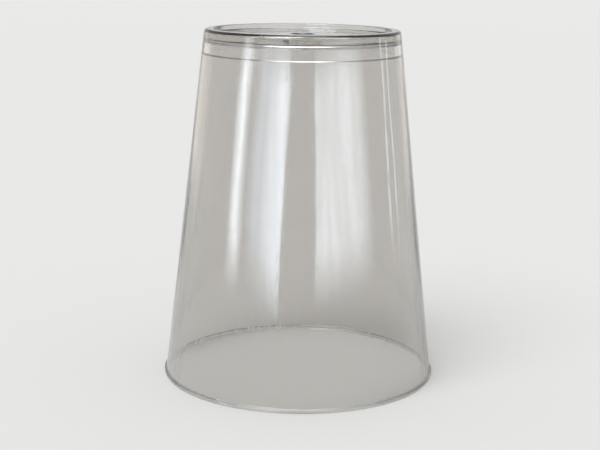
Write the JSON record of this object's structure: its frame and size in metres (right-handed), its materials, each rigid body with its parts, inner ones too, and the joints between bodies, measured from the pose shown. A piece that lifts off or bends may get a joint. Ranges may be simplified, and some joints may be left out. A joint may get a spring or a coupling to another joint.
{
  "type": "plastic tumbler cup",
  "caption": "Clear one-piece drinking tumbler, a thin cone with a beaded lip, recessed foot and inner stacking ledge, standing mouth down.",
  "frame": {"origin": "centre of the plane that the lip rests on, with the cup mouth down as pictured", "axes": "+Z is the cup's axis of turn, up from the open mouth to the closed base; the cup is turned over for drinking. X and Y are alike."},
  "size_m": [0.0684, 0.0684, 0.0865],
  "materials": {
    "clear_plastic": "clear, colourless polystyrene as moulded, glossy inside and out"
  },
  "bodies": {
    "root": {"tumbler": "clear_plastic"}
  },
  "joints": []
}
